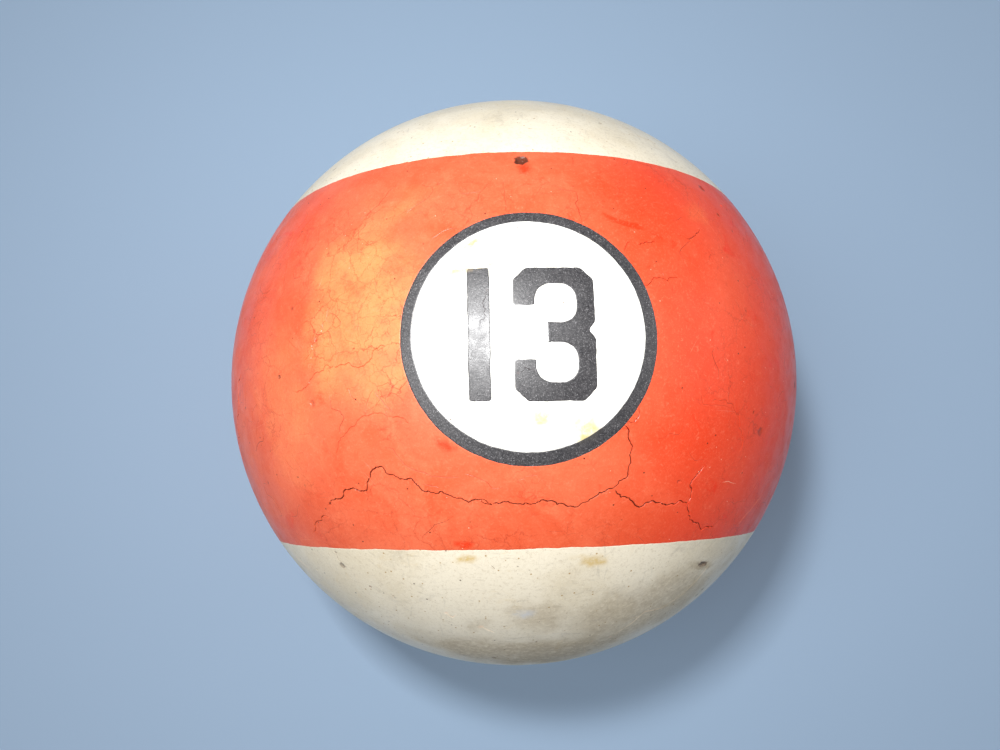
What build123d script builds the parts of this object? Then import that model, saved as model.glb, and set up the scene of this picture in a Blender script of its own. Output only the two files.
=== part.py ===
"""Striped pool ball, number 13, as the pieces it is inlaid from.

Frame: the origin is the centre of the ball. +Z runs up through the middle of the front number, so the
ball lies with that number on top. Y is the axis of the stripe, and +Y is the top of both numbers.

The body is one piece of ivory composition: two caps joined by a drum. The groove between the caps
holds the stripe band. The band has a blind socket behind each number. A socket holds a black ring,
and the ring holds a white disc with the two digits let into it. Every piece is bonded to the next,
face to face, and the whole is turned to one sphere, so nothing moves and nothing stands proud.
"""

import os
from math import asin, degrees, sqrt

from build123d import *

# Driving dimensions, in millimetres
BALL_DIAMETER = 57.15
BAND_WIDTH = 31.4
DRUM_DIAMETER = 40.0
GROOVE_CORNER = 1.0

RING_DIAMETER = 19.15
DISC_DIAMETER = 17.35
DISC_OFF_CENTRE = (-0.06, 0.1)
SOCKET_DEPTH = 7.0

DIGIT_HEIGHT = 9.9
STEM_WIDTH = 1.62
STEM_CORNER = 0.2
STEM_CENTRE = (-3.75, 0.1)

THREE_WIDTH = 6.0
THREE_CENTRE_X = 1.78
THREE_CHAMFER = 0.95
THREE_SIDE_STROKE = 1.35
THREE_TOP_STROKE = 1.25
THREE_FOOT_STROKE = 1.35
THREE_BAR_TOP = 0.76
THREE_BAR_FOOT = -0.71
THREE_BAR_START = 2.45
THREE_TERMINAL_WIDTH = 1.55
THREE_MOUTH_TOP = 2.07
THREE_MOUTH_FOOT = -1.93
THREE_COUNTER_CORNER = 1.2
THREE_NOTCH_DEPTH = 0.5
THREE_NOTCH_HEIGHT = 1.32
THREE_NOTCH_CENTRE_Y = 0.19

# Worked out from the above
ball_radius = BALL_DIAMETER / 2
half_band = BAND_WIDTH / 2
drum_radius = DRUM_DIAMETER / 2
cap_edge_radius = sqrt(ball_radius**2 - half_band**2)
cap_edge_angle = degrees(asin(half_band / ball_radius))
socket_floor = ball_radius - SOCKET_DEPTH

# Each number has a plane through the ball's centre, seen from outside with +Y up.
number_planes = {
    "front": Plane.XY,
    "back": Plane(origin=(0, 0, 0), x_dir=(-1, 0, 0), z_dir=(0, 0, -1)),
}


# Body: two caps and the drum between them, turned about Y in one piece
with BuildPart() as ball_body:
    with BuildSketch(Plane.XY) as body_profile:
        with BuildLine():
            foot_cap = CenterArc((0, 0), ball_radius, -90, 90 - cap_edge_angle)
            groove = Polyline(
                foot_cap @ 1,
                (drum_radius, -half_band),
                (drum_radius, half_band),
                (cap_edge_radius, half_band),
            )
            head_cap = CenterArc((0, 0), ball_radius, cap_edge_angle, 90 - cap_edge_angle)
            Line(head_cap @ 1, foot_cap @ 0)
        make_face()
        drum_corners = body_profile.vertices().filter_by_position(
            Axis.X, drum_radius - GROOVE_CORNER, drum_radius + GROOVE_CORNER
        )
        fillet(drum_corners, GROOVE_CORNER)
    revolve(axis=Axis.Y)


# Stripe band: the ring that fills the groove, with a blind socket behind each number
with BuildPart() as stripe_band:
    with BuildSketch(Plane.XY) as band_profile:
        with BuildLine():
            crown = CenterArc((0, 0), ball_radius, -cap_edge_angle, 2 * cap_edge_angle)
            Polyline(
                crown @ 1,
                (drum_radius, half_band),
                (drum_radius, -half_band),
                crown @ 0,
            )
        make_face()
        bore_corners = band_profile.vertices().filter_by_position(
            Axis.X, drum_radius - GROOVE_CORNER, drum_radius + GROOVE_CORNER
        )
        fillet(bore_corners, GROOVE_CORNER)
    revolve(axis=Axis.Y)
    for number_plane in number_planes.values():
        with BuildSketch(number_plane.offset(socket_floor)):
            Circle(RING_DIAMETER / 2)
        extrude(amount=SOCKET_DEPTH, mode=Mode.SUBTRACT)


# Number profiles, drawn once and used on both sides
with BuildSketch() as digit_one:
    with Locations(STEM_CENTRE):
        RectangleRounded(STEM_WIDTH, DIGIT_HEIGHT, STEM_CORNER)

with BuildSketch() as digit_three:
    right = THREE_CENTRE_X + THREE_WIDTH / 2
    left = right - THREE_WIDTH
    top = DIGIT_HEIGHT / 2
    counter_left = left + THREE_TERMINAL_WIDTH
    counter_right = right - THREE_SIDE_STROKE
    upper_counter = (THREE_BAR_TOP, top - THREE_TOP_STROKE)
    lower_counter = (THREE_FOOT_STROKE - top, THREE_BAR_FOOT)
    with Locations((THREE_CENTRE_X, 0)):
        Rectangle(THREE_WIDTH, DIGIT_HEIGHT)
    chamfer(digit_three.vertices(), THREE_CHAMFER)
    for low, high in (upper_counter, lower_counter):
        with Locations(((counter_left + counter_right) / 2, (low + high) / 2)):
            RectangleRounded(
                counter_right - counter_left, high - low, THREE_COUNTER_CORNER, mode=Mode.SUBTRACT
            )
    # The mouth of the figure, from its left side to the end of the middle bar
    with Locations((left + THREE_BAR_START / 2, (THREE_MOUTH_TOP + THREE_MOUTH_FOOT) / 2)):
        Rectangle(THREE_BAR_START, THREE_MOUTH_TOP - THREE_MOUTH_FOOT, mode=Mode.SUBTRACT)
    # The notch between the bowls, in the right side
    with BuildLine():
        Polyline(
            (right, THREE_NOTCH_CENTRE_Y + THREE_NOTCH_HEIGHT / 2),
            (right - THREE_NOTCH_DEPTH, THREE_NOTCH_CENTRE_Y),
            (right, THREE_NOTCH_CENTRE_Y - THREE_NOTCH_HEIGHT / 2),
            close=True,
        )
    make_face(mode=Mode.SUBTRACT)

with BuildSketch() as number_disc:
    with Locations(DISC_OFF_CENTRE):
        Circle(DISC_DIAMETER / 2)
    add(digit_one.sketch, mode=Mode.SUBTRACT)
    add(digit_three.sketch, mode=Mode.SUBTRACT)

with BuildSketch() as number_ring:
    Circle(RING_DIAMETER / 2)
    with Locations(DISC_OFF_CENTRE):
        Circle(DISC_DIAMETER / 2, mode=Mode.SUBTRACT)


def inlay(profile, number_plane):
    """A piece that stands on its socket's floor with this profile and ends at the ball's surface."""
    with BuildPart() as piece:
        with BuildSketch(number_plane.offset(socket_floor)):
            add(profile.sketch)
        extrude(amount=SOCKET_DEPTH)
        Sphere(ball_radius, mode=Mode.INTERSECT)
    return piece.part


pieces = {"ball_body": ball_body.part, "stripe_band": stripe_band.part}
for side, plane in number_planes.items():
    pieces[f"{side}_number_ring"] = inlay(number_ring, plane)
    pieces[f"{side}_number_disc"] = inlay(number_disc, plane)
    pieces[f"{side}_digit_1"] = inlay(digit_one, plane)
    pieces[f"{side}_digit_3"] = inlay(digit_three, plane)

os.makedirs("parts", exist_ok=True)
for name, piece in pieces.items():
    piece.label = name
    export_step(piece, f"parts/{name}.step")
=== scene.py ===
"""The looks of a striped pool ball, number 13: worn, cracked and stained cast resin.

The ball's centre is the origin, +Z runs up through the front number, Y is the axis of the stripe.
Lengths are in millimetres up to the moment a mesh is made, which is in metres like the frame.

Every piece is a closed solid. Its outer face is a patch of the ball, laid flat in a chart and meshed
there, with the cracks, scratches and joints as edges of the mesh, so that they are real grooves.
"""

import math
import random
from collections import namedtuple

import bmesh
import bpy
import numpy as np
from mathutils import Matrix, Vector, noise
from mathutils.geometry import delaunay_2d_cdt
from mathutils.kdtree import KDTree


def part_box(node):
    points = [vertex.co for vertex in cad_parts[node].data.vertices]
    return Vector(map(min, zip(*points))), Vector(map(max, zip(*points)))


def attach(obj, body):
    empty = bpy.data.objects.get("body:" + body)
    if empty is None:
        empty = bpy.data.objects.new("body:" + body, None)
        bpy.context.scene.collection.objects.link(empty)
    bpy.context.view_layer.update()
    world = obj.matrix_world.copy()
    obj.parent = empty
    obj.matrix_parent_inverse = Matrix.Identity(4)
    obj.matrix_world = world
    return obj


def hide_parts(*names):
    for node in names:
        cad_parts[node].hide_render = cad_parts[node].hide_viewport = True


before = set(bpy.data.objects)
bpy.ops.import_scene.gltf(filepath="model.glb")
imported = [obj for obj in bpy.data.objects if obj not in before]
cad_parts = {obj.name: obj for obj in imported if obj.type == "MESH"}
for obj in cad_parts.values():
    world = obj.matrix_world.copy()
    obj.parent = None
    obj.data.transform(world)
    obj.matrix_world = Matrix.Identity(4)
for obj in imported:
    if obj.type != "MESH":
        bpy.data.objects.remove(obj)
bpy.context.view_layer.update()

MM = 0.001  # a millimetre in metres
TURN = 2 * math.pi

# Sizes from the CAD nodes, in millimetres
body_low, body_high = (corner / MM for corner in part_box("ball_body"))
band_low, band_high = (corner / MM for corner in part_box("stripe_band"))
ring_low, ring_high = (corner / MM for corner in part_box("front_number_ring"))
disc_low, disc_high = (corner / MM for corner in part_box("front_number_disc"))
BALL_RADIUS = (body_high.y - body_low.y) / 2
HALF_BAND = (band_high.y - band_low.y) / 2
RING_RADIUS = (ring_high.x - ring_low.x) / 2
DISC_RADIUS = (disc_high.x - disc_low.x) / 2
DISC_CENTRE = ((disc_high.x + disc_low.x) / 2, (disc_high.y + disc_low.y) / 2)
SOCKET_FLOOR = ring_low.z
BORE_RADIUS = min(math.hypot(v.co.x, v.co.z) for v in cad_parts["stripe_band"].data.vertices) / MM
BORE_CORNER = 1.0  # how far the groove's corners are rounded
WALL_RADIUS = BORE_RADIUS + 2.4  # part of the way down the groove's sides
SECTION_LEVEL = SOCKET_FLOOR + 3  # the height at which the digits' outlines are taken

# Mesh spacing and make-up, in millimetres
BAND_SPACING = 0.45
CAP_SPACING = 0.5
NUMBER_SPACING = 0.24
RIM_POINTS = 900  # round each edge of the stripe
RING_POINTS = 400  # round each circle of a number
LINE_STEP = 0.22  # along a crack or a scratch
OUTLINE_STEP = 0.12  # along the outline of a digit
JOINT_WIDTH = 0.07  # how far each side of a joint is eased
JOINT_DEPTH = 0.012
JOINT_CLEARANCE = 0.12  # between a joint and the points of the grid
LINE_CLEARANCE = 0.1  # between any other line and the points of the grid
SEAM_STEPS = 80  # up the line where the stripe's chart is cut open
SEAM_CLEARANCE = 0.1
CHART_LEAP = 20  # a longer step of a line in a chart is a leap over the cut
SMOOTH_ANGLE = 8  # degrees between faces that are still shaded as one

# Two pieces that meet share the seed of their edge
RING_SEED = 5
DISC_SEED = 8
ONE_SEED = 3
THREE_SEED = 4
BAND_SEED = 11

# Wear: lengths, widths and depths in millimetres, strengths of paint from 0 to 1, pairs as ranges
TAPER = 1.2  # the length over which a groove thins out at each end
TURN_KEPT = 0.45  # how much of its last turn a wandering line keeps at each step
KINK = 0.9  # radians
DARK_LINE_DEPTH = 0.03
SCRATCH_DEPTH = 0.02
HIDDEN_CRACK_LENGTH = (16, 30)
HIDDEN_CRACK_WIDTH = (0.14, 0.18)
HIDDEN_CRACK_DEPTH = 0.08
HIDDEN_CRACK_STRIDE = 9  # it has a corner at every ninth step of a wandering line
HAIRLINE_TRIES = 1500
HAIRLINE_CELL = 0.45  # a hairline ends where it comes about this close to another
HAIRLINE_LENGTH = (1.5, 7)
HAIRLINE_WIDTH = (0.05, 0.085)
HAIRLINE_DEPTH = 0.012
HAIRLINE_DARK = (0.3, 0.7)
FINE_SCRATCHES = 150
FINE_SCRATCH_LENGTH = 3  # the mean of what it has beyond 1 mm
FINE_SCRATCH_WIDTH = (0.04, 0.07)
FINE_SCRATCH_DEPTH = 0.006
FINE_SCRATCH_LIGHT = (0.1, 0.35)
PITS = 90
PIT_REACH = 0.12
PIT_SPREAD = 0.1  # the mean of what a pit's reach has beyond that
PIT_DEPTH = (0.03, 0.08)
VIEW_LIMIT = 10  # random stains are centred below this height in z, where the photo doesn't reach


# ---- Places on the ball ----


def on_ball(angle, height):
    """The point at an angle round the stripe, in degrees from the front number, and a height in y."""
    radius = math.sqrt(BALL_RADIUS**2 - height**2)
    turn = math.radians(angle)
    return Vector((radius * math.sin(turn), height, radius * math.cos(turn)))


def to_ball(points):
    """Points pushed out or in to the ball's surface."""
    points = np.asarray(points, float)
    return points * (BALL_RADIUS / np.linalg.norm(points, axis=1))[:, None]


def on_surface(points):
    """Which points lie on the ball's surface."""
    return np.linalg.norm(points, axis=1) > BALL_RADIUS - 0.01


class BandChart:
    """The stripe unrolled from its seam, with heights stretched as on a Mercator map."""

    seam = math.radians(90)
    length = TURN * BALL_RADIUS

    def flat(self, points):
        x, y, z = np.asarray(points, float).T
        turn = (np.arctan2(x, z) - self.seam) % TURN
        return np.column_stack((turn * BALL_RADIUS, BALL_RADIUS * np.arctanh(y / BALL_RADIUS)))

    def round(self, flat):
        turn = flat[:, 0] / BALL_RADIUS + self.seam
        height = BALL_RADIUS * np.tanh(flat[:, 1] / BALL_RADIUS)
        radius = BALL_RADIUS / np.cosh(flat[:, 1] / BALL_RADIUS)
        return np.column_stack((radius * np.sin(turn), height, radius * np.cos(turn)))


class CapChart:
    """A cap seen from its pole, by stereographic projection."""

    length = None

    def __init__(self, side):
        self.side = side
        self.across, self.up = (2, 0) if side > 0 else (0, 2)

    def flat(self, points):
        points = np.asarray(points, float)
        scale = 2 * BALL_RADIUS / (BALL_RADIUS + self.side * points[:, 1])
        return points[:, (self.across, self.up)] * scale[:, None]

    def round(self, flat):
        reach = (flat**2).sum(1) / (4 * BALL_RADIUS**2)
        points = np.empty((len(flat), 3))
        points[:, (self.across, self.up)] = flat / (1 + reach)[:, None]
        points[:, 1] = self.side * BALL_RADIUS * (1 - reach) / (1 + reach)
        return points


class NumberChart:
    """A number seen straight on. The back one is the front one turned half round Y."""

    length = None

    def __init__(self, side):
        self.turn = np.array((side, 1, side))

    def flat(self, points):
        return (np.asarray(points, float) * self.turn)[:, :2]

    def round(self, flat):
        depth = np.sqrt(BALL_RADIUS**2 - (flat**2).sum(1))
        return np.column_stack((flat, depth)) * self.turn


# ---- Edges that two pieces share ----


def ripple(place, seed, coarse, fine):
    """A small hand-made unevenness: coarse and fine are its sizes, over about 1.5 mm and 0.4 mm."""
    shift = Vector((seed, -2.3 * seed, 1.7 * seed))
    return coarse * noise.noise(place / 1.5 + shift) + fine * noise.noise(place / 0.4 + shift)


def band_rim(side):
    """The stripe's edge as points of the ball, one for each even step round it."""
    points = []
    for step in range(RIM_POINTS):
        angle = 360 * step / RIM_POINTS
        straight = on_ball(angle, side * HALF_BAND)
        unevenness = ripple(straight, BAND_SEED + side, 0.05, 0.035)
        points.append(on_ball(angle, side * (HALF_BAND + unevenness)))
    return np.array(points)


def circle(centre, radius, seed):
    """A slightly uneven circle in a number's chart."""
    points = []
    for step in range(RING_POINTS):
        turn = TURN * step / RING_POINTS
        out = Vector((math.cos(turn), math.sin(turn), 0))
        reach = radius + ripple(radius * out, seed, 0.03, 0.02)
        points.append((centre[0] + reach * out.x, centre[1] + reach * out.y))
    return np.array(points)


def signed_area(loop):
    """Twice the area inside a closed flat loop, which is below 0 if the loop runs clockwise."""
    x, y = loop.T
    return (x * np.roll(y, -1) - y * np.roll(x, -1)).sum()


def left_of(loop):
    """The directions that point to the left of a closed flat loop, all along it."""
    along = np.roll(loop, -1, axis=0) - np.roll(loop, 1, axis=0)
    return np.column_stack((-along[:, 1], along[:, 0])) / np.linalg.norm(along, axis=1)[:, None]


def section(node):
    """The outline of a CAD digit, as one loop of points in a number's chart."""
    mesh = bmesh.new()
    mesh.from_mesh(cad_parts[node].data)
    bmesh.ops.remove_doubles(mesh, verts=mesh.verts, dist=1e-7)
    level = Vector((0, 0, SECTION_LEVEL * MM))
    everything = [*mesh.verts, *mesh.edges, *mesh.faces]
    cut = bmesh.ops.bisect_plane(mesh, geom=everything, plane_co=level, plane_no=(0, 0, 1))["geom_cut"]
    edges = {e for e in cut if isinstance(e, bmesh.types.BMEdge)}
    loop = [min((v for e in edges for v in e.verts), key=lambda v: tuple(v.co))]
    while edges:
        last = loop[-1]
        edge = min((e for e in last.link_edges if e in edges), key=lambda e: e.other_vert(last).co.x)
        edges.remove(edge)
        loop.append(edge.other_vert(last))
    outline = np.array([v.co[:2] for v in loop[:-1]]) / MM
    mesh.free()
    return outline if signed_area(outline) > 0 else outline[::-1]


def hand_cut(outline, step, seed):
    """The outline with its corners worn round and its sides a little uneven."""
    points = []
    for here, after in zip(outline, np.roll(outline, -1, axis=0)):
        parts = max(1, round(float(np.linalg.norm(after - here)) / step))
        points.extend(here + (after - here) * part / parts for part in range(parts))
    points = np.array(points)
    for _ in range(2):
        points = (np.roll(points, 1, axis=0) + 2 * points + np.roll(points, -1, axis=0)) / 4
    offsets = [ripple(Vector((x, y, 0)), seed, 0.05, 0.03) for x, y in points]
    return points - left_of(points) * np.array(offsets)[:, None]


# ---- Grooves and pits ----

# A groove follows points of the ball. dark and light say how it is coloured, from 0 to 1.
Groove = namedtuple("Groove", "points widths depth dark light")
# A pit is a hollow of the ball's surface, and reach is its radius along and across its own angle.
Pit = namedtuple("Pit", "centre reach angle depth dark")


def rough_line(ends, jitter, rng):
    """Points at LINE_STEP along given ends, each half shifted sideways by up to jitter of its length."""
    line = [Vector(end) for end in ends]
    while True:
        longest = max((b - a).length for a, b in zip(line, line[1:]))
        if longest <= LINE_STEP:
            return to_ball(line)
        finer = [line[0]]
        for a, b in zip(line, line[1:]):
            length = (b - a).length
            if length > LINE_STEP:
                middle = (a + b) / 2
                sideways = middle.cross(b - a).normalized()
                finer.append(middle + sideways * rng.uniform(-jitter, jitter) * length)
            finer.append(b)
        line = finer


def groove(ends, width, depth, rng, dark=0.0, light=0.0, jitter=0.2):
    """A groove through given ends, thinned out towards both of them and uneven in width."""
    points = rough_line(ends, jitter, rng)
    count = len(points)
    from_end = np.minimum(np.arange(count), np.arange(count)[::-1]) * LINE_STEP
    taper = np.minimum(1, from_end / TAPER)
    swell = np.array([1 + 0.35 * noise.noise(Vector(p) * 0.9) for p in points])
    return Groove(points, width * np.sqrt(taper) * swell, depth, dark, light)


# The stripe's main cracks: angle round the stripe in degrees, height in mm, then width, depth and darkness
MAIN_CRACKS = [
    (((-37.5, -12), (-33, -11), (-28.5, -11.1), (-27, -9.9), (-24.5, -9.3), (-19.5, -10.3),
      (-13, -11.7), (-8, -11.9), (-6.5, -12.3)), 0.14, 0.1, 0.85),
    (((-8.5, -11.85), (-6.5, -12.3), (-4, -12.1), (0, -12.3), (5.5, -12.5), (8.5, -12.3), (11, -11.6),
      (13.6, -11.2), (15.3, -10.6), (15.9, -9.5), (15.4, -7.9), (14.9, -7), (14.2, -6.7)), 0.14, 0.1, 0.85),
    (((14.4, -6.6), (16.5, -6.1), (16.5, -5.4)), 0.12, 0.05, 0.6),
    (((13.7, -11.4), (15, -12), (17.6, -12.5), (18.8, -12.8), (24.5, -12.7), (29, -12.6)), 0.15, 0.1, 0.9),
    (((30.5, -9.6), (28.3, -11.2), (29, -12.6), (30, -13.6), (32, -14.2), (38.5, -14.6)), 0.14, 0.08, 0.75),
    (((-40.5, -3.1), (-36, -2.2), (-33, -1.4), (-30, -1.5), (-27.5, -1.8), (-25.4, -1.6), (-22, -0.4)),
     0.12, 0.05, 0.42),
    (((-38, -0.9), (-36, 0.3), (-34, 1.2), (-33, 2.4), (-32, 3.8)), 0.12, 0.05, 0.4),
    (((-33, -8.2), (-32, -7.3), (-29.5, -6.4), (-27, -5.6), (-24, -5.4), (-21, -5.7), (-18.5, -6.3)),
     0.11, 0.04, 0.36),
    (((-46, -14.4), (-43, -13.5), (-39, -13.2)), 0.12, 0.06, 0.6),
    (((18, 3.8), (20, 4.5), (22.3, 4.3), (24.7, 4.7)), 0.11, 0.05, 0.5),
    (((15.4, 6.4), (16, 7), (16.7, 7.4)), 0.11, 0.05, 0.5),
    (((18, 7.1), (21.5, 7.6)), 0.11, 0.05, 0.6),
    (((26.6, 8.4), (29.7, 8.4), (32.5, 9.5)), 0.11, 0.05, 0.55),
]


def on_number(x, y, side):
    """The point of the surface at x and y, in mm, of the front number (side 1) or the back one (side -1)."""
    return Vector(NumberChart(side).round(np.array([(x, y)], float))[0])


def in_band(point, margin):
    """True if a point lies in the stripe, that far from its edges and from both numbers."""
    clear_of_edges = abs(point.y) < HALF_BAND - margin
    return clear_of_edges and math.hypot(point.x, point.y) > RING_RADIUS + margin


def wander(start, heading, length, bend, rng, stop):
    """A line that strays over the ball, from start, for that length or until stop is true of its end.

    bend is the spread of its turns, in radians a step, and the chance that a step starts with a kink.
    """
    line = [start]
    turn = 0.0
    for _ in range(int(length / LINE_STEP)):
        up = line[-1].normalized()
        turn = TURN_KEPT * turn + rng.gauss(0, bend)
        kink = rng.choice((-KINK, KINK)) if rng.random() < bend else 0
        heading = Matrix.Rotation(turn + kink, 3, up) @ heading
        heading = (heading - up * heading.dot(up)).normalized()
        after = (line[-1] + heading * LINE_STEP).normalized() * BALL_RADIUS
        line.append(after)
        if stop(after):
            break
    return line


def any_direction(rng):
    return Vector((rng.gauss(0, 1), rng.gauss(0, 1), rng.gauss(0, 1)))


def any_heading(point, rng):
    """A random direction along the surface."""
    return point.normalized().cross(any_direction(rng)).normalized()


def any_point(rng):
    """A random point of the ball."""
    return any_direction(rng).normalized() * BALL_RADIUS


def craze_density(point):
    """The chance that a hairline starts here: it is highest in random patches and left of the number."""
    patches = 0.5 + 0.9 * noise.noise(point / 8 + Vector((4, 1, 7)))
    left = math.exp(-(((point - on_ball(-30, 3)).length / 11) ** 2))
    return 0.17 + 0.55 * max(0, patches) ** 2 + 0.6 * left


def cell(point):
    return tuple(int(value // HAIRLINE_CELL) for value in point)


def craze(cracks, rng):
    """The hairlines of the stripe. Each stops where it meets a crack or another hairline."""
    taken = {cell(point) for crack in cracks for point in crack.points}
    lines = []
    for _ in range(HAIRLINE_TRIES):
        start = any_point(rng)
        if not in_band(start, 0.4) or rng.random() > craze_density(start):
            continue
        passed = set()

        def stop(point):
            passed.add(cell(point))
            return not in_band(point, 0.15) or (cell(point) in taken and len(passed) > 2)

        length = rng.uniform(*HAIRLINE_LENGTH)
        dark = rng.uniform(*HAIRLINE_DARK)
        line = wander(start, any_heading(start, rng), length, 0.13, rng, stop)
        width = rng.uniform(*HAIRLINE_WIDTH)
        taken.update(cell(point) for point in line)
        if len(line) > 4:
            lines.append(groove(line, width, HAIRLINE_DEPTH, rng, dark=dark, jitter=0.16))
    return lines


class Relief:
    """The grooves and pits of the ball's surface, looked up by place."""

    def __init__(self, grooves, pits):
        self.grooves, self.pits = grooves, pits
        self.samples = [(g, k) for g in grooves for k in range(len(g.points))]
        self.tree = KDTree(len(self.samples))
        for index, (line, k) in enumerate(self.samples):
            self.tree.insert(line.points[k], index)
        self.tree.balance()
        self.reach = max(g.widths.max() for g in grooves)

    def groove_at(self, point):
        """(the groove here, how far down its side the point is from 0 to 1), or (None, 0)."""
        _, index, away = self.tree.find(point)
        if away > self.reach + LINE_STEP:
            return None, 0
        line, k = self.samples[index]
        nearest = math.inf
        for a, b in ((k - 1, k), (k, k + 1)):
            if a < 0 or b >= len(line.points):
                continue
            start, along = Vector(line.points[a]), Vector(line.points[b] - line.points[a])
            part = min(1, max(0, (Vector(point) - start).dot(along) / along.length_squared))
            nearest = min(nearest, (Vector(point) - start - along * part).length)
        down = 1 - nearest / (line.widths[k] / 2 + 1e-9)
        return (line, min(1, down)) if down > 0.04 else (None, 0)

    def at(self, points):
        """Depth in mm, and the paint of cracks, scratches and pits from 0 to 1, at points of the ball."""
        made = {name: np.zeros(len(points)) for name in ("depth", "dark", "light", "pit")}
        for i, point in enumerate(points):
            line, down = self.groove_at(point)
            if line:
                made["depth"][i] = line.depth * down
                made["dark"][i] = line.dark * down
                made["light"][i] = line.light * down
        for pit in self.pits:
            for i, away in near(pit, points, 1.6):
                away += 0.3 * noise.noise(Vector(points[i]) * 1.7 / min(pit.reach))
                hollow = smooth((1 - away) / 0.7)
                made["depth"][i] = max(made["depth"][i], pit.depth * hollow)
                made["pit"][i] = max(made["pit"][i], pit.dark * smooth((1.1 - away) / 0.25))
        return made


def smooth(value):
    """A gentle step from 0 to 1."""
    value = np.clip(value, 0, 1)
    return value * value * (3 - 2 * value)


def near(mark, points, limit):
    """(index, distance) of each point near a pit or a stain. The distance is a share of the mark's reach.

    A mark's angle is in degrees from the stripe's run.
    """
    found = np.nonzero(np.linalg.norm(points - mark.centre, axis=1) < limit * max(mark.reach))[0]
    up = mark.centre.normalized()
    along = Vector((0, 1, 0)).cross(up).normalized()
    along.rotate(Matrix.Rotation(math.radians(mark.angle), 3, up))
    offset = points[found] - np.array(mark.centre)
    along, across = offset @ np.array(along), offset @ np.array(up.cross(along))
    return zip(found, np.hypot(along / mark.reach[0], across / mark.reach[1]))


# ---- Meshing ----


def in_loop(points, loop):
    """Which flat points lie inside a closed flat loop."""
    inside = np.zeros(len(points), bool)
    x, y = points.T
    for (x0, y0), (x1, y1) in zip(loop, np.roll(loop, -1, axis=0)):
        crossed = (y0 > y) != (y1 > y)
        if crossed.any():
            inside[crossed] ^= x[crossed] < (x1 - x0) * (y[crossed] - y0) / (y1 - y0) + x0
    return inside


def in_region(points, loops):
    """Which flat points lie inside the first loop and outside the others."""
    inside = in_loop(points, loops[0])
    for hole in loops[1:]:
        inside &= ~in_loop(points, hole)
    return inside


def hexagonal(low, high, spacing):
    """A flat grid of even triangles."""
    rows = np.arange(low[1], high[1], spacing * math.sqrt(3) / 2)
    grid = []
    for number, y in enumerate(rows):
        x = np.arange(low[0] + spacing / 2 * (number % 2), high[0], spacing)
        grid.append(np.column_stack((x, np.full(len(x), y))))
    return np.concatenate(grid)


def clear_of(points, others, distance):
    """Which flat points have none of the others closer than that distance."""
    tree = KDTree(len(others))
    for index, (x, y) in enumerate(others):
        tree.insert((x, y, 0), index)
    tree.balance()
    return np.array([tree.find((x, y, 0))[2] >= distance for x, y in points])


def inset(loop, distance, inward):
    """The loop moved sideways: into what it encloses if inward is 1, out of it if inward is -1."""
    return loop + left_of(loop) * distance * inward * (1 if signed_area(loop) > 0 else -1)


def sides_of(triangles):
    """The three sides of each triangle, as pairs of points."""
    return np.vstack((triangles[:, (0, 1)], triangles[:, (1, 2)], triangles[:, (2, 0)]))


def triangulate(points, edges, outline, loops):
    """Triangles between flat points, with the edges kept, inside the first loop and outside the others.

    The first edges, as many as outline says, are the loops. The result is the points, the triangles, and
    for each point its index among those given, or -1 if it is where two edges cross.
    """
    made = delaunay_2d_cdt([Vector(point) for point in points], edges, [], 0, 1e-5, True)
    flat, triangles = np.array([v[:] for v in made[0]]), np.array(made[2])
    origin = np.array([first[0] if first else -1 for first in made[3]])
    walls = np.array([edge for edge, first in zip(made[1], made[4]) if first and min(first) < outline])

    def keys(pairs):
        return pairs.min(1) * len(flat) + pairs.max(1)

    sides = keys(sides_of(triangles))
    order = np.argsort(sides, kind="stable")
    paired = (sides[order][1:] == sides[order][:-1]) & ~np.isin(sides[order][1:], keys(walls))
    neighbours = [[] for _ in triangles]
    pairs = np.column_stack((order[:-1][paired], order[1:][paired])) % len(triangles)
    for a, b in pairs.tolist():
        neighbours[a].append(b)
        neighbours[b].append(a)
    corners = flat[triangles]
    u, v = corners[:, 1] - corners[:, 0], corners[:, 2] - corners[:, 0]
    area = np.abs(u[:, 0] * v[:, 1] - u[:, 1] * v[:, 0])
    first = int(np.argmax(np.where(in_region(corners.mean(1), loops), area, 0)))
    reached, front = {first}, [first]
    while front:
        for index in neighbours[front.pop()]:
            if index not in reached:
                reached.add(index)
                front.append(index)
    return flat, triangles[sorted(reached)], origin


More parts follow.
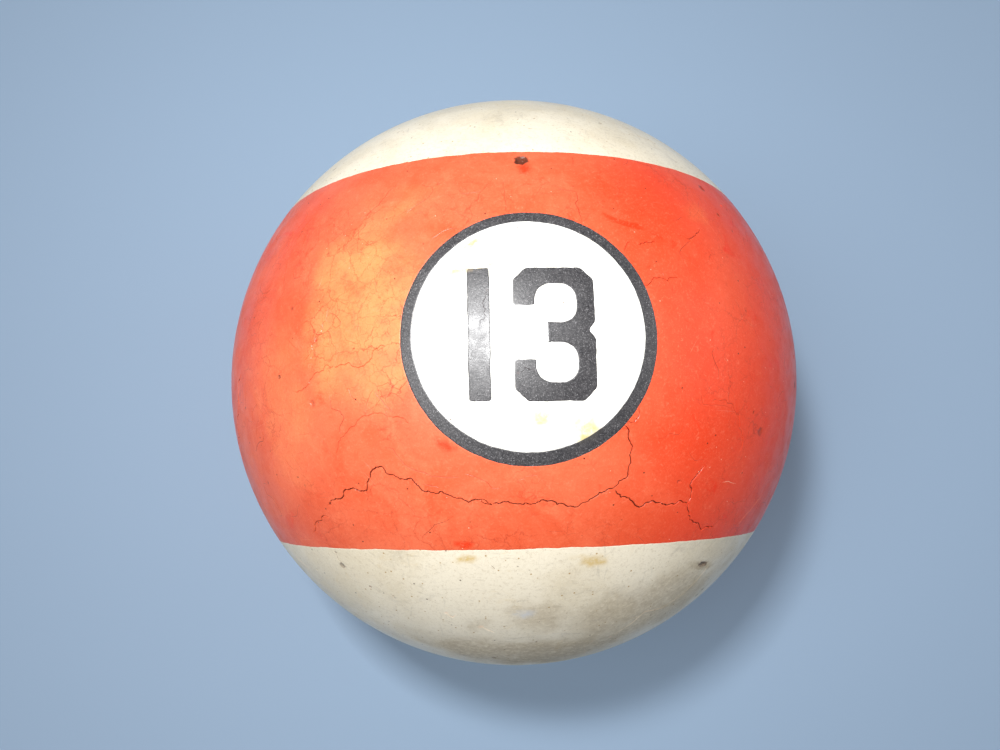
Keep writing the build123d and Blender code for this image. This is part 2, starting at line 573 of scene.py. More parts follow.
class Shell:
    """The points and faces of one piece, on its way to being closed."""

    def __init__(self):
        self.points = np.zeros((0, 3))
        self.faces = np.zeros((0, 3), int)

    def add_points(self, points):
        first = len(self.points)
        self.points = np.vstack((self.points, points))
        return np.arange(first, len(self.points))

    def add_faces(self, faces):
        self.faces = np.vstack((self.faces, np.array(faces, int)))

    def rim_points(self):
        """1 for each point where the patch of the ball ends, 0 for the others."""
        mixed = self.faces[~on_surface(self.points)[self.faces].all(1)]
        rim = np.zeros(len(self.points))
        rim[mixed.ravel()] = 1
        return rim

    def rims(self):
        """The open edges as loops of indices, each running the way its faces do."""
        directed = sides_of(self.faces)
        size = len(self.points)
        forward = directed[:, 0] * size + directed[:, 1]
        backward = directed[:, 1] * size + directed[:, 0]
        after = dict(directed[~np.isin(forward, backward)].tolist())
        loops = []
        while after:
            start = min(after)
            loop = [start]
            while after[loop[-1]] != start:
                loop.append(after[loop[-1]])
            for index in loop:
                del after[index]
            loops.append(np.array(loop))
        return loops

    def wall(self, loop, place):
        """Carries the wall on from an open loop to the places that place gives, and returns the new loop."""
        made = self.add_points(place(self.points[loop]))
        here, there = np.roll(loop, -1), np.roll(made, -1)
        self.add_faces(np.column_stack((here, loop, made)))
        self.add_faces(np.column_stack((here, made, there)))
        return made

    def join(self, loop, other, angle):
        """Closes the gap between two open loops round one axis. angle gives points' places round it."""
        other = other[::-1]
        away = angle(self.points[other]) - angle(self.points[loop[:1]])
        other = np.roll(other, -int(np.argmin(np.abs((away + math.pi) % TURN - math.pi))))

        def progress(indices):
            turned = np.unwrap(angle(self.points[np.append(indices, indices[0])]))
            return np.abs(turned - turned[0])

        a, b = progress(loop), progress(other)
        i = j = 0
        faces = []
        while i < len(loop) or j < len(other):
            at, beside = loop[i % len(loop)], other[j % len(other)]
            if j >= len(other) or (i < len(loop) and a[i + 1] <= b[j + 1]):
                i += 1
                faces.append((loop[i % len(loop)], at, beside))
            else:
                j += 1
                faces.append((at, beside, other[j % len(other)]))
        self.add_faces(faces)

    def floor(self, loops, chart):
        """Fills flat between open loops. The first is the outermost."""
        indices = np.concatenate(loops)
        flat = chart.flat(self.points[indices])
        edges, first = [], 0
        for loop in loops:
            edges += closed_edges(first, len(loop))
            first += len(loop)
        outlines = np.split(flat, np.cumsum([len(loop) for loop in loops])[:-1])
        _, triangles, origin = triangulate(flat, edges, len(edges), outlines)
        faces = indices[origin[triangles]]
        rim = (loops[0][0], loops[0][1])
        same_way = ((faces == rim[0]) & (np.roll(faces, -1, axis=1) == rim[1])).any()
        self.add_faces(faces[:, ::-1] if same_way else faces)


def closed_edges(first, count):
    """The edges round a loop of points that starts at index first."""
    return [(first + k, first + (k + 1) % count) for k in range(count)]


class Patch:
    """The lines that a patch of the ball has to follow, laid flat in its chart."""

    def __init__(self, chart, loops):
        self.chart, self.loops = chart, loops
        self.points, self.edges = [], []
        self.joints = []
        self.count = 0
        for loop in loops:
            self.add(loop, np.ones(len(loop), bool), closed=True)
        self.outline = len(self.edges)
        for number, loop in enumerate(loops):
            eased = inset(loop, JOINT_WIDTH, -1 if number else 1)
            self.add(eased, self.off_seam(eased), closed=True)
            self.joints += [loop, eased]

    def off_seam(self, flat):
        """Which points are clear of the line where the chart is cut open."""
        if self.chart.length is None:
            return np.ones(len(flat), bool)
        return (flat[:, 0] > SEAM_CLEARANCE) & (flat[:, 0] < self.chart.length - SEAM_CLEARANCE)

    def add(self, points, kept, closed=False):
        """Adds the kept points, each joined to the next if that is kept too."""
        where = self.count + np.cumsum(kept) - 1
        for k in range(len(points) if closed else len(points) - 1):
            after = (k + 1) % len(points)
            if kept[k] and kept[after] and abs(points[k][0] - points[after][0]) < CHART_LEAP:
                self.edges.append((int(where[k]), int(where[after])))
        self.points.append(points[kept])
        self.count += int(kept.sum())

    def add_groove(self, line):
        """Adds the bottom and both sides of a groove, as far as they cross the patch."""
        if not in_loop(self.chart.flat(line.points), self.loops[0]).any():
            return
        across = np.cross(line.points, np.gradient(line.points, axis=0))
        across *= (line.widths / 2 / np.linalg.norm(across, axis=1))[:, None]
        for points in (line.points, line.points + across, line.points - across):
            flat = self.chart.flat(to_ball(points))
            inside = in_region(flat, self.loops)
            beside = inside.copy()
            beside[1:] |= inside[:-1]
            beside[:-1] |= inside[1:]
            self.add(flat, beside)

    def grid(self, spacing, pits):
        """Even points between the lines, closer together in the pits."""
        grid = hexagonal(self.loops[0].min(0), self.loops[0].max(0), spacing)
        for pit in pits:
            middle = self.chart.flat([pit.centre])[0]
            size = 1.4 * max(pit.reach)
            if not in_loop(middle[None], self.loops[0])[0]:
                continue
            fine = hexagonal(middle - size, middle + size, max(0.05, min(pit.reach) / 4))
            fine = fine[np.linalg.norm(fine - middle, axis=1) < size]
            grid = np.vstack((grid[np.linalg.norm(grid - middle, axis=1) > size], fine))
        grid = grid[in_region(grid, self.loops)]
        grid = grid[self.off_seam(grid)]
        grid = grid[clear_of(grid, np.concatenate(self.joints), JOINT_CLEARANCE)]
        return grid[clear_of(grid, np.concatenate(self.points), LINE_CLEARANCE)]

    def mesh(self, spacing, pits):
        """(points on the ball, triangles facing outwards) of the patch."""
        grid = self.grid(spacing, pits)
        fixed = np.concatenate(self.points)
        flat, triangles, _ = triangulate(np.vstack((fixed, grid)), self.edges, self.outline, self.loops)
        if self.chart.length is not None:
            triangles = self.close_seam(flat)[triangles]
        used, triangles = np.unique(triangles, return_inverse=True)
        points, triangles = self.chart.round(flat[used]), triangles.reshape(-1, 3)
        a, b, c = (points[triangles[:, k]] for k in range(3))
        outward = (np.cross(b - a, c - a) * a).sum() > 0
        return points, triangles if outward else triangles[:, ::-1]

    def close_seam(self, flat):
        """For each point itself, or the point it meets at the start of the chart if it lies at its end."""
        same = np.arange(len(flat))
        first = np.nonzero(flat[:, 0] < 1e-3)[0]
        last = np.nonzero(flat[:, 0] > self.chart.length - 1e-3)[0]
        same[last[np.argsort(flat[last, 1])]] = first[np.argsort(flat[first, 1])]
        return same


# ---- The pieces' shapes ----


def turned(radius, height):
    """A function that moves points to a radius and a height of the stripe's axis without turning them."""
    def place(points):
        x, _, z = points.T
        scale = radius / np.hypot(x, z)
        return np.column_stack((x * scale, np.full(len(x), height), z * scale))
    return place


def sunk(side):
    """A function that moves points straight down to the floor of a number's socket."""
    def place(points):
        return np.column_stack((points[:, :2], np.full(len(points), side * SOCKET_FLOOR)))
    return place


def angle_round_stripe(points):
    return np.arctan2(points[:, 0], points[:, 2])


def groove_wall(shell, loop, side):
    """Carries an edge of the stripe down the groove's side and round its corner to the drum."""
    loop = shell.wall(loop, turned(WALL_RADIUS, side * HALF_BAND))
    for degrees in (90, 120, 150, 180):
        turn = math.radians(degrees)
        radius = BORE_RADIUS + BORE_CORNER * (1 + math.cos(turn))
        height = HALF_BAND + BORE_CORNER * (math.sin(turn) - 1)
        loop = shell.wall(loop, turned(radius, side * height))
    return loop


def patch_of(shell, chart, loops, spacing, relief):
    """Adds a patch of the ball to a shell, and returns its open loops."""
    patch = Patch(chart, loops)
    for line in relief.grooves:
        patch.add_groove(line)
    points, triangles = patch.mesh(spacing, relief.pits)
    indices = shell.add_points(points)
    alone = Shell()
    alone.points, alone.faces = points, triangles
    shell.add_faces(indices[triangles])
    return [indices[loop] for loop in alone.rims()]


def body_shell(relief):
    shell = Shell()
    drum_ends = []
    for side in (1, -1):
        chart = CapChart(side)
        rim, = patch_of(shell, chart, [chart.flat(band_rim(side))], CAP_SPACING, relief)
        drum_ends.append(groove_wall(shell, rim, side))
    shell.join(*drum_ends, angle_round_stripe)
    return shell


def band_shell(relief):
    chart = BandChart()
    start = round(RIM_POINTS * math.degrees(chart.seam) / 360)
    sides = []
    for side in (-1, 1):
        flat = chart.flat(np.roll(band_rim(side), -start, axis=0))
        flat[0, 0] = 0
        sides.append(np.vstack((flat, (chart.length, flat[0, 1]))))
    low, high = sides
    climb = np.linspace(0, 1, SEAM_STEPS + 1)[1:-1, None]
    right = low[-1] + (high[-1] - low[-1]) * climb
    left = high[0] + (low[0] - high[0]) * climb
    outline = np.vstack((low, right, high[::-1], left))
    ring = circle((0, 0), RING_RADIUS, RING_SEED)
    numbers = [chart.flat(NumberChart(side).round(ring)) for side in (1, -1)]
    shell = Shell()
    bore_ends = []
    for loop in patch_of(shell, chart, [outline, *numbers], BAND_SPACING, relief):
        _, height, depth = shell.points[loop].mean(0)
        if abs(height) > HALF_BAND / 2:
            bore_ends.append(groove_wall(shell, loop, math.copysign(1, height)))
        else:
            side = math.copysign(1, depth)
            shell.floor([shell.wall(loop, sunk(side))], NumberChart(side))
    shell.join(*bore_ends, angle_round_stripe)
    return shell


def inlay_shell(side, outlines, relief):
    """A piece of a number: its face, its sides down to the socket's floor, and its foot."""
    shell = Shell()
    chart = NumberChart(side)
    rims = patch_of(shell, chart, outlines, NUMBER_SPACING, relief)
    loops = [shell.wall(rim, sunk(side)) for rim in rims]
    loops.sort(key=lambda loop: -np.ptp(shell.points[loop][:, 0]))
    shell.floor(loops, chart)
    return shell


# ---- Wear, with a few patches of painted shade and sheen: what is painted and cut where ----

# A stain, or a patch of painted shade or sheen, is an uneven ellipse of one paint. Its strength is from 0 to
# 1.
Stain = namedtuple("Stain", "paint centre reach angle strength")
PAINTS = ("dark", "light", "pit", "stain", "grime", "blush", "glow", "bruise")

# Light scratches seen in the photo: places as for the cracks, then width
SCRATCHES = [
    (((47.6, -14.7), (51, -13.3), (54.5, -11.7)), 0.09),
    (((36, -11.1), (38, -11), (40.6, -11.2)), 0.08),
    (((29, -24.2), (32, -22.9), (33, -21.8), (39.4, -21.7), (43, -20.8), (44.7, -19.4), (45, -18)), 0.1),
    (((-12.6, -22.4), (-9.5, -23)), 0.13),
    (((-20.6, -21.1), (-19.4, -21.5), (-18.2, -21.2)), 0.2),
    (((-63.6, -17), (-61.5, -17.4), (-60, -18)), 0.16),
]
# Dark lines seen in the photo that are finer than the cracks
DARK_LINES = [
    (((31.6, -4.7), (34.8, -4.9), (37.2, -5.8), (38.8, -7.3), (38.7, -8.7)), 0.09, 0.5),
    (((-42, -16.1), (-42.1, -16.8), (-42.2, -17.5)), 0.12, 0.6),
    (((-8.2, -16.9), (-7.4, -17.1), (-6.7, -17.3)), 0.2, 0.5),
]
# Stains, and a few broad patches of painted shade and sheen, at an angle and a height: paint, reach along
# and across, angle, strength
STAINS_AND_PAINTED_LIGHT = [
    ("blush", (-12.2, -15.3), (1.0, 0.4), 10, 1.0),
    ("stain", (-12.2, -16.4), (1.1, 0.35), 5, 1.0),
    ("stain", (12.3, -16.8), (1.6, 0.6), -12, 0.9),
    ("grime", (42, -18), (2.8, 0.6), -8, 1.0),
    ("grime", (2, -21.5), (3.4, 2.4), -20, 0.75),
    ("bruise", (-1.4, -21.2), (1.0, 0.6), 20, 1.0),
    # Broad darker patches low on the lower cap: partly dirt, partly painted shade where the ball turns from
    # the light.
    ("grime", (34, -21.5), (9, 5), 20, 0.8),
    ("grime", (0, -25.6), (11, 5), 0, 1.0),
    ("grime", (-14, -22.3), (1.6, 0.9), 30, 0.5),
    # Paler orange patches left of the number: partly the resin's own tone, partly a painted sheen of the
    # lamp's broad highlight.
    ("glow", (-26, 3), (5.5, 9), 0, 0.95),
    ("glow", (-44, -4), (4, 7), 0, 0.3),
    ("glow", (33, 10.9), (1.6, 1.1), 0, 0.8),
    ("blush", (36, 14), (3.2, 1.0), -20, 0.8),
    # A broad deeper red over the stripe's right side is painted shade, where it turns from the light.
    ("blush", (64, -5), (26, 30), 0, 0.85),
    ("pit", (36.2, 3.9), (0.22, 0.14), 20, 0.9),
    ("pit", (36.7, 2.8), (0.16, 0.12), 0, 0.9),
    ("light", (22.8, 7.9), (0.16, 0.12), 0, 1.0),
    ("light", (-40.1, -8.2), (0.13, 0.09), 0, 1.0),
    ("light", (55.7, -10.4), (0.2, 0.16), 0, 1.0),
]
# Stains at x and y on the front number
NUMBER_STAINS = [
    ("stain", (0.55, -6.15), (0.8, 0.7), 0, 0.95),
    ("stain", (3.8, -7.05), (1.2, 1.1), 15, 1.0),
    ("stain", (-4.3, 6.9), (1.3, 0.35), 42, 0.9),
    ("grime", (-4.2, 7.0), (1.0, 0.25), 42, 1.0),
    ("grime", (-5.0, 4.9), (1.4, 0.22), 6, 1.0),
    ("grime", (-2.7, 5.3), (0.5, 0.22), 20, 0.9),
    ("stain", (-5.0, 4.9), (1.6, 0.3), 6, 0.8),
    ("stain", (-2.9, 5.3), (0.6, 0.3), 20, 0.6),
    ("pit", (-0.7, 8.2), (0.14, 0.1), 0, 0.9),
    ("pit", (0.4, 7.8), (0.12, 0.09), 0, 0.8),
    ("pit", (2.5, -7), (0.13, 0.1), 0, 0.9),
    ("stain", (-6.4, -7.3), (0.5, 0.25), -40, 0.6),
    ("blush", (-6.3, -7.9), (0.9, 0.45), -35, 1.0),
    ("blush", (0.1, 13.8), (0.8, 0.6), 0, 1.0),
    ("pit", (-0.1, 14.7), (0.5, 0.5), 80, 0.8),
]


# Random stains where the photo doesn't reach: paint, how many are tried, mean reach
HIDDEN_STAINS = (("grime", 26, 2.6), ("stain", 24, 1.3), ("blush", 16, 2.2), ("glow", 10, 4.5))


def on_places(places):
    """The points of the surface at a list of angles and heights."""
    return [on_ball(angle, height) for angle, height in places]


def seen_grooves(rng):
    """The cracks, dark lines and scratches that the photo shows."""
    grooves = []
    for line, width, depth, dark in MAIN_CRACKS:
        grooves.append(groove(on_places(line), width, depth, rng, dark=dark))
    for line, width, dark in DARK_LINES:
        grooves.append(groove(on_places(line), width, DARK_LINE_DEPTH, rng, dark=dark))
    for line, width in SCRATCHES:
        grooves.append(groove(on_places(line), width, SCRATCH_DEPTH, rng, light=0.9, jitter=0.05))
    return grooves


def number_lines(rng):
    """Hairlines of the front digits."""
    lines = []
    for places in (((-3.1, 3.3), (-3.4, 2.1), (-3.2, 1.3), (-3.8, 0.6)),
                   ((-1.0, -2.9), (-0.5, -2.5), (0.1, -2.6), (0.2, -3.0))):
        line = [on_number(x, y, 1) for x, y in places]
        lines.append(groove(line, 0.045, 0.008, rng, dark=0.45))
    return lines


def hidden_cracks(rng):
    """Long cracks like the photo's, on the sides of the stripe that it doesn't show."""
    def stop(point):
        return not in_band(point, 0.3)

    grooves = []
    for angle, height in ((118, 9), (152, -11), (-142, 7), (-104, -9), (96, -5)):
        start = on_ball(angle, height)
        heading = Vector((0, 1, 0)).cross(start).normalized()
        line = wander(start, heading, rng.uniform(*HIDDEN_CRACK_LENGTH), 0.06, rng, stop)
        width = rng.uniform(*HIDDEN_CRACK_WIDTH)
        grooves.append(groove(line[::HIDDEN_CRACK_STRIDE], width, HIDDEN_CRACK_DEPTH, rng, dark=0.95))
    return grooves


def fine_scratches(rng):
    """Straight light scratches all over the ball."""
    grooves = []
    while len(grooves) < FINE_SCRATCHES:
        start = any_point(rng)
        on_cap = abs(start.y) > HALF_BAND + 0.3
        if not on_cap and (not in_band(start, 0.5) or rng.random() < 0.5):
            continue

        def stop(point):
            return abs(point.y) < HALF_BAND + 0.2 if on_cap else not in_band(point, 0.2)

        heading = any_heading(start, rng)
        length = 1 + rng.expovariate(1 / FINE_SCRATCH_LENGTH)
        line = wander(start, heading, length, 0.006, rng, stop)
        if len(line) > 5:
            width, light = rng.uniform(*FINE_SCRATCH_WIDTH), rng.uniform(*FINE_SCRATCH_LIGHT)
            grooves.append(groove(line, width, FINE_SCRATCH_DEPTH, rng, light=light, jitter=0.02))
    return grooves


def all_pits(rng):
    """The chip at the top of the stripe, two lesser ones, and small pits everywhere but in the numbers."""
    pits = [
        Pit(on_number(-0.1, 14.7, 1), (0.6, 0.55), 0, 0.25, 1.0),
        Pit(on_ball(42, -17.9), (0.7, 0.3), -8, 0.1, 0.8),
        Pit(on_ball(-42.3, -17.2), (0.3, 0.3), 0, 0.06, 0.6),
    ]
    while len(pits) < PITS:
        centre = any_point(rng)
        if math.hypot(centre.x, centre.y) > RING_RADIUS + 1 and abs(abs(centre.y) - HALF_BAND) > 0.8:
            reach = PIT_REACH + rng.expovariate(1 / PIT_SPREAD)
            angle, depth, dark = rng.uniform(0, 180), rng.uniform(*PIT_DEPTH), rng.uniform(0, 0.9)
            pits.append(Pit(centre, (min(0.5, reach), min(0.4, 0.8 * reach)), angle, depth, dark))
    return pits


def all_stains_and_painted_light(rng):
    """The stains that the photo shows, with a few patches of painted shade and sheen among them, and others
    like the stains on the hidden sides.
    """
    stains = [Stain(paint, on_ball(*place), *rest) for paint, place, *rest in STAINS_AND_PAINTED_LIGHT]
    stains += [Stain(paint, on_number(*place, 1), *rest) for paint, place, *rest in NUMBER_STAINS]
    for paint, count, size in HIDDEN_STAINS:
        for _ in range(count):
            centre = any_point(rng)
            reach = size * rng.uniform(0.5, 1.5)
            if centre.z < VIEW_LIMIT:
                across = reach * rng.uniform(0.3, 0.9)
                angle, strength = rng.uniform(0, 180), rng.uniform(0.35, 0.8)
                stains.append(Stain(paint, centre, (reach, across), angle, strength))
    return stains


def paint_at(points, relief, stains):
    """Depth and paints at points of the ball's surface."""
    made = relief.at(points)
    made.update({paint: made.get(paint, np.zeros(len(points))) for paint in PAINTS})
    for mark in stains:
        for i, away in near(mark, points, 1.9):
            place = Vector(points[i]) / min(mark.reach)
            away += 0.45 * noise.noise(place * 1.1) + 0.25 * noise.noise(place * 2.9)
            made[mark.paint][i] = max(made[mark.paint][i], mark.strength * smooth((1.15 - away) / 0.7))
    return made


# ---- Materials ----


class Look:
    """A material in the making, in millimetres of the ball, with colours laid one over the other."""

    def __init__(self, name, colour):
        self.material = bpy.data.materials.new(name)
        self.material.use_nodes = True
        self.tree = self.material.node_tree
        self.shader = self.tree.nodes["Principled BSDF"]
        place = self.tree.nodes.new("ShaderNodeTexCoord").outputs["Object"]
        self.place = self.scaled(place, (1 / MM, 1 / MM, 1 / MM))
        self.colour = (*colour, 1)

    def node(self, kind, inputs=(), **settings):
        """A node with some inputs set, either to values or by a link."""
        node = self.tree.nodes.new("ShaderNode" + kind)
        for name, value in settings.items():
            setattr(node, name, value)
        for name, value in dict(inputs).items():
            if isinstance(value, bpy.types.NodeSocket):
                self.tree.links.new(value, node.inputs[name])
            else:
                node.inputs[name].default_value = value
        return node

    def lay(self, colour, amount):
        """Lays a colour over what is there, as thick as amount."""
        inputs = {0: amount, 6: self.colour, 7: (*colour, 1)}
        self.colour = self.node("Mix", inputs, data_type="RGBA", clamp_factor=True).outputs[2]

    def paint(self, name):
        """How thick a paint of the mesh is, from 0 to 1."""
        return self.node("Attribute", attribute_name=name).outputs["Fac"]

    def between(self, value, low, high, top=1.0):
        """Value from low to high brought to 0 to top."""
        node = self.node("MapRange", {"Value": value, "From Min": low, "From Max": high, "To Max": top},
                         interpolation_type="SMOOTHSTEP")
        return node.outputs["Result"]

    def combined(self, operation, first, *others):
        for value in others:
            first = self.node("Math", {0: first, 1: value}, operation=operation).outputs["Value"]
        return first

    def mottle(self, colour, texture, low, high, top=1.0):
        """Lays a colour where a noise, given as its settings, goes from low to high."""
        self.lay(colour, self.between(self.noise(*texture), low, high, top))

    def times(self, *values):
        return self.combined("MULTIPLY", *values)

    def plus(self, *values):
        return self.combined("ADD", *values)

    def scaled(self, place, scale):
        node = self.node("Mapping", {"Vector": place, "Scale": scale}, vector_type="POINT")
        return node.outputs["Vector"]

    def noise(self, scale, detail=4.0, rough=0.55, warp=0.0, stretch=None):
        """A noise from 0 to 1. scale is per mm, detail counts its finer layers, rough is their strength."""
        place = self.scaled(self.place, stretch) if stretch else self.place
        node = self.node("TexNoise", {"Vector": place, "Scale": scale, "Detail": detail,
                                      "Roughness": rough, "Distortion": warp})
        return node.outputs["Fac"]

    def cells(self, scale, warp):
        """Distance from the edges of uneven cells, whose edges are warped sideways by up to warp mm."""
        inputs = {"Vector": self.place, "Scale": 0.9, "Detail": 5.0, "Roughness": 0.65}
        shift = self.node("TexNoise", inputs).outputs["Color"]
        moved = self.node("VectorMath", {0: shift, 1: (warp, warp, warp), 2: self.place},
                          operation="MULTIPLY_ADD").outputs["Vector"]
        node = self.node("TexVoronoi", {"Vector": moved, "Scale": scale}, feature="DISTANCE_TO_EDGE")
        return node.outputs["Distance"]

    def specks(self, scale, size, share):
        """Small round specks in a share of the cells of a pattern."""
        node = self.node("TexVoronoi", {"Vector": self.place, "Scale": scale}, feature="F1")
        chosen = self.node("SeparateColor", {"Color": node.outputs["Color"]}).outputs["Red"]
        dots = self.between(node.outputs["Distance"], size, size * 0.5)
        return self.times(dots, self.between(chosen, 1 - share, 1 - share + 0.01))

    def wear(self, stain):
        """Lays the marks that every piece shares over its own colours, among them dirt whose broad patches
        low on the lower cap are partly painted shade.
        """
        patchy = self.between(self.noise(1.9, 8, 0.75, 0.4), 0.22, 0.62)
        self.lay(stain, self.times(self.paint("stain"), patchy, 0.85))
        # Dirt, and in its broad patches low on the lower cap painted shade.
        self.lay((0.3, 0.215, 0.11), self.times(self.paint("grime"), patchy, 0.55))
        self.lay((0.62, 0.66, 0.72), self.times(self.paint("bruise"), patchy, 0.7))
        self.lay((0.95, 0.66, 0.45), self.times(self.paint("light"), 0.65))
        self.lay((0.06, 0.022, 0.012), self.times(self.paint("pit"), 0.9))
        self.lay((0.06, 0.008, 0.005), self.between(self.paint("dark"), 0.0, 0.85))

    def finish(self, roughness, specular, bump):
        """Connects the colour, a rubbed roughness and a bump of that many mm to the shader."""
        rubbed = self.between(self.noise(0.5, 6, 0.65), 0.35, 0.7, 0.16)
        grime_and_shade_roughness = self.times(self.paint("grime"), 0.25)
        inputs = {"Height": self.noise(5.5, 6, 0.7), "Strength": 1.0, "Distance": bump * MM}
        normal = self.node("Bump", inputs).outputs["Normal"]
        self.tree.links.new(self.colour, self.shader.inputs["Base Color"])
        self.tree.links.new(self.plus(rubbed, roughness, grime_and_shade_roughness), self.shader.inputs["Roughness"])
        self.tree.links.new(normal, self.shader.inputs["Normal"])
        self.shader.inputs["Specular IOR Level"].default_value = specular
        return self.material


def orange_look():
    look = Look("orange_resin", (0.72, 0.1, 0.035))
    look.mottle((0.8, 0.15, 0.065), (0.13, 6, 0.62, 0.8), 0.3, 0.62)
    look.mottle((0.86, 0.21, 0.095), (0.3, 8, 0.66, 1.4), 0.5, 0.72, 0.5)
    # A paler orange laid in patches: partly the resin's own tone, partly a painted sheen of the lamp's broad
    # highlight.
    pale_and_sheen_mask = look.between(look.noise(0.4, 6, 0.7), 0.2, 0.6)
    look.lay((0.9, 0.33, 0.115), look.times(look.paint("glow"), pale_and_sheen_mask, 0.75))
    redder = look.between(look.noise(0.24, 5, 0.6, 1.8), 0.6, 0.74, 0.4)
    # Deeper red from small red stains, a random noise, and a broad patch of painted shade on the stripe's
    # right side.
    look.lay((0.8, 0.04, 0.007), look.plus(look.times(look.paint("blush"), 0.9), redder))
    grain = look.noise(7.0, 5, 0.8)
    look.lay((0.5, 0.04, 0.015), look.between(grain, 0.54, 0.72, 0.45))
    look.lay((0.95, 0.36, 0.2), look.between(grain, 0.46, 0.28, 0.28))
    fibres = look.noise(2.6, 8, 0.75, 1.2)
    look.lay((0.58, 0.055, 0.02), look.between(fibres, 0.52, 0.75, 0.5))
    look.lay((0.92, 0.31, 0.17), look.between(fibres, 0.48, 0.27, 0.4))
    patches = look.between(look.noise(0.16, 4, 0.6), 0.45, 0.65)
    crazed = look.plus(patches, look.times(look.paint("glow"), 0.8))
    for scale, width, amount in ((0.42, 0.018, 0.45), (1.05, 0.03, 0.3)):
        lines = look.between(look.cells(scale, 1.3), width, width * 0.25)
        look.lay((0.4, 0.03, 0.012), look.times(lines, crazed, amount))
    look.lay((0.1, 0.02, 0.01), look.specks(1.3, 0.11, 0.16))
    look.lay((0.95, 0.62, 0.45), look.specks(1.9, 0.09, 0.1))
    look.wear(stain=(0.42, 0.1, 0.03))
    return look.finish(roughness=0.3, specular=0.32, bump=0.012)


def ivory_look():
    look = Look("ivory_resin", (0.84, 0.76, 0.6))
    look.mottle((0.74, 0.65, 0.48), (0.1, 5, 0.6, 0.7), 0.38, 0.66)
    look.mottle((0.7, 0.53, 0.27), (0.33, 6, 0.68, 1.2), 0.58, 0.78, 0.6)
    look.mottle((0.42, 0.37, 0.29), (0.22, 8, 0.72, 0.5), 0.52, 0.78, 0.5)
    for stretch, amount in (((0.35, 3.2, 0.5), 0.3), ((3.0, 0.4, 0.6), 0.25), ((0.6, 0.5, 3.4), 0.25)):
        look.mottle((0.4, 0.35, 0.27), (0.9, 5, 0.6, 0.2, stretch), 0.6, 0.72, amount)
    look.mottle((0.45, 0.36, 0.23), (3.2, 8, 0.8), 0.5, 0.68, 0.5)
    look.mottle((0.92, 0.86, 0.72), (6.0, 5, 0.8), 0.52, 0.66, 0.45)
    look.mottle((0.36, 0.29, 0.19), (8.0, 4, 0.8), 0.58, 0.7, 0.45)
    look.lay((0.2, 0.16, 0.12), look.specks(1.1, 0.11, 0.2))
    look.lay((0.42, 0.27, 0.1), look.specks(2.0, 0.2, 0.14))
    look.wear(stain=(0.6, 0.4, 0.1))
    return look.finish(roughness=0.3, specular=0.34, bump=0.007)


def white_look():
    look = Look("white_resin", (0.9, 0.89, 0.85))
    look.mottle((0.8, 0.77, 0.68), (0.35, 5, 0.6, 0.6), 0.42, 0.7)
    look.mottle((0.55, 0.47, 0.33), (1.4, 7, 0.7), 0.62, 0.8, 0.5)
    look.lay((0.22, 0.17, 0.12), look.specks(1.2, 0.09, 0.13))
    look.wear(stain=(0.62, 0.5, 0.16))
    return look.finish(roughness=0.28, specular=0.5, bump=0.002)


def black_look():
    look = Look("black_resin", (0.018, 0.017, 0.02))
    look.mottle((0.075, 0.07, 0.073), (5.0, 6, 0.75), 0.4, 0.7)
    look.mottle((0.4, 0.39, 0.4), (12.0, 2, 0.7), 0.55, 0.68, 0.42)
    look.lay((0.4, 0.39, 0.4), look.times(look.specks(7.0, 0.3, 0.12), 0.7))
    look.wear(stain=(0.06, 0.055, 0.05))
    return look.finish(roughness=0.33, specular=0.8, bump=0.014)


# ---- The pieces ----


def add_object(name, data):
    made = bpy.data.objects.new(name, data)
    bpy.context.scene.collection.objects.link(made)
    return made


def sharp_edges(mesh):
    """Marks the edges that shading stops at, such as the sides of the grooves."""
    made = bmesh.new()
    made.from_mesh(mesh)
    for edge in made.edges:
        edge.smooth = edge.calc_face_angle(0) < math.radians(SMOOTH_ANGLE)
    made.to_mesh(mesh)
    made.free()


def make_piece(name, node, shell, material, relief, stains):
    """Presses the wear into a closed shell and makes it a piece of the ball."""
    outer = on_surface(shell.points)
    paint = paint_at(shell.points[outer], relief, stains)
    shaped = shell.points.copy()
    depth = paint["depth"] + JOINT_DEPTH * shell.rim_points()[outer]
    shaped[outer] *= (1 - depth / BALL_RADIUS)[:, None]
    mesh = bpy.data.meshes.new(name)
    mesh.from_pydata((shaped * MM).tolist(), [], shell.faces.tolist())
    mesh.polygons.foreach_set("use_smooth", np.ones(len(mesh.polygons), bool))
    sharp_edges(mesh)
    for kind in PAINTS:
        values = np.zeros(len(shaped))
        values[outer] = paint[kind]
        mesh.attributes.new(kind, "FLOAT", "POINT").data.foreach_set("value", values)
    mesh.materials.append(material)
    piece = add_object(name, mesh)
    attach(piece, "root")
    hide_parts(node)


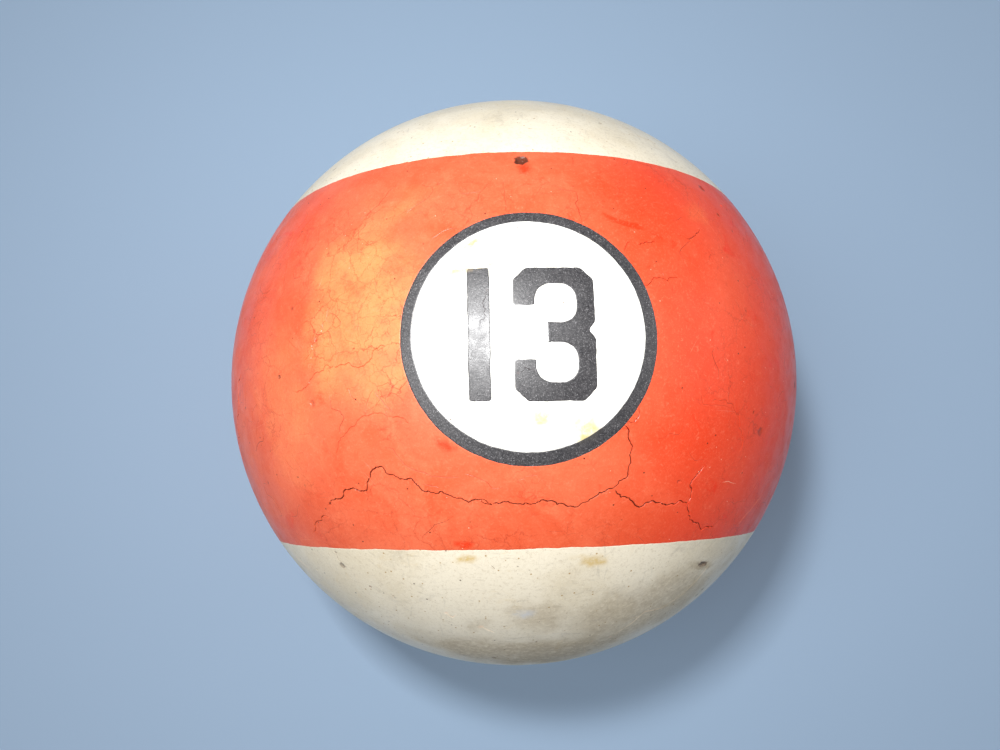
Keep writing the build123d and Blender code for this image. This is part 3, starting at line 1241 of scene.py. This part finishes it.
def make_ball():
    rng = random.Random(13)
    cracks = seen_grooves(rng) + hidden_cracks(rng)
    hairlines = craze(cracks, rng)
    scratches = fine_scratches(rng)
    relief = Relief(cracks + hairlines + scratches, all_pits(rng))
    numbers_relief = Relief(number_lines(rng), [])
    stains = all_stains_and_painted_light(rng)
    ivory, orange, white, black = ivory_look(), orange_look(), white_look(), black_look()
    make_piece("ivory_body", "ball_body", body_shell(relief), ivory, relief, stains)
    make_piece("orange_stripe", "stripe_band", band_shell(relief), orange, relief, stains)
    outer = circle((0, 0), RING_RADIUS, RING_SEED)
    inner = circle(DISC_CENTRE, DISC_RADIUS, DISC_SEED)
    one = hand_cut(section("front_digit_1"), OUTLINE_STEP, ONE_SEED)
    three = hand_cut(section("front_digit_3"), OUTLINE_STEP, THREE_SEED)
    inlays = (
        ("ring", "number_ring", "black", [outer, inner], black),
        ("disc", "number_disc", "white", [inner, one, three], white),
        ("one", "digit_1", "black", [one], black),
        ("three", "digit_3", "black", [three], black),
    )
    for place, side in (("front", 1), ("back", -1)):
        for piece, part, slot, outlines, material in inlays:
            name, node = f"{place}_{piece}", f"{place}_{part}"
            shell = inlay_shell(side, outlines, numbers_relief)
            make_piece(name, node, shell, material, numbers_relief, stains)


# ---- The stage ----


FLOOR_REACH = 3  # metres from the ball
FLOOR_COLOUR = (0.31, 0.425, 0.575, 1)
WORLD_COLOUR = (0.95, 0.97, 1.0, 1)

# The camera, fitted to the ball's outline and the stripe's edges in the photo, in millimetres
CAMERA_PLACE = (-4.28, -10.73, 86.25)
CAMERA_FORWARD = (0.034, 0.132, -0.9907)
CAMERA_UP = (0.0183, 0.9911, 0.1327)
CAMERA_LENS = 29.25
CAMERA_SENSOR = 36


def make_floor():
    low, high, level = -FLOOR_REACH, FLOOR_REACH, -BALL_RADIUS * MM
    corners = [(x, y, level) for x, y in ((low, low), (high, low), (high, high), (low, high))]
    mesh = bpy.data.meshes.new("floor")
    mesh.from_pydata(corners, [], [(0, 1, 2, 3)])
    material = bpy.data.materials.new("pale_floor")
    material.use_nodes = True
    shader = material.node_tree.nodes["Principled BSDF"]
    shader.inputs["Base Color"].default_value = FLOOR_COLOUR
    shader.inputs["Roughness"].default_value = 0.7
    mesh.materials.append(material)
    floor = add_object("floor", mesh)


def lamp(name, kind, place, power):
    """A lamp that shines on the ball from a place in millimetres and can't be seen itself."""
    light = bpy.data.lights.new(name, kind)
    light.energy = power
    holder = add_object(name, light)
    holder.location = Vector(place) * MM
    holder.rotation_euler = (-Vector(place)).to_track_quat("-Z", "Y").to_euler()
    holder.visible_camera = False
    return light


def light_stage():
    """A small lamp near the camera, like the photo's flash, and broad light from the left and the right."""
    lamp("key", "AREA", (-22, 18.6, 118), 0.15).size = 14 * MM
    lamp("side", "AREA", (190, 30, 110), 0.07).size = 130 * MM
    lamp("sky", "SUN", (-130, -25, 250), 1.0).angle = math.radians(40)
    world = bpy.data.worlds.new("pale_world")
    world.use_nodes = True
    background = world.node_tree.nodes["Background"]
    background.inputs["Color"].default_value = WORLD_COLOUR
    background.inputs["Strength"].default_value = 0.2
    bpy.context.scene.world = world


def make_camera():
    lens = bpy.data.cameras.new("camera")
    lens.sensor_width = CAMERA_SENSOR
    lens.lens = CAMERA_LENS
    lens.clip_start = 0.005
    camera = add_object("camera", lens)
    forward = Vector(CAMERA_FORWARD).normalized()
    right = forward.cross(Vector(CAMERA_UP)).normalized()
    up = right.cross(forward)
    turn = Matrix((right, up, -forward)).transposed().to_4x4()
    camera.matrix_world = Matrix.Translation(Vector(CAMERA_PLACE) * MM) @ turn
    bpy.context.scene.camera = camera


make_ball()
make_floor()
light_stage()
make_camera()
bpy.context.scene.view_settings.view_transform = "Standard"
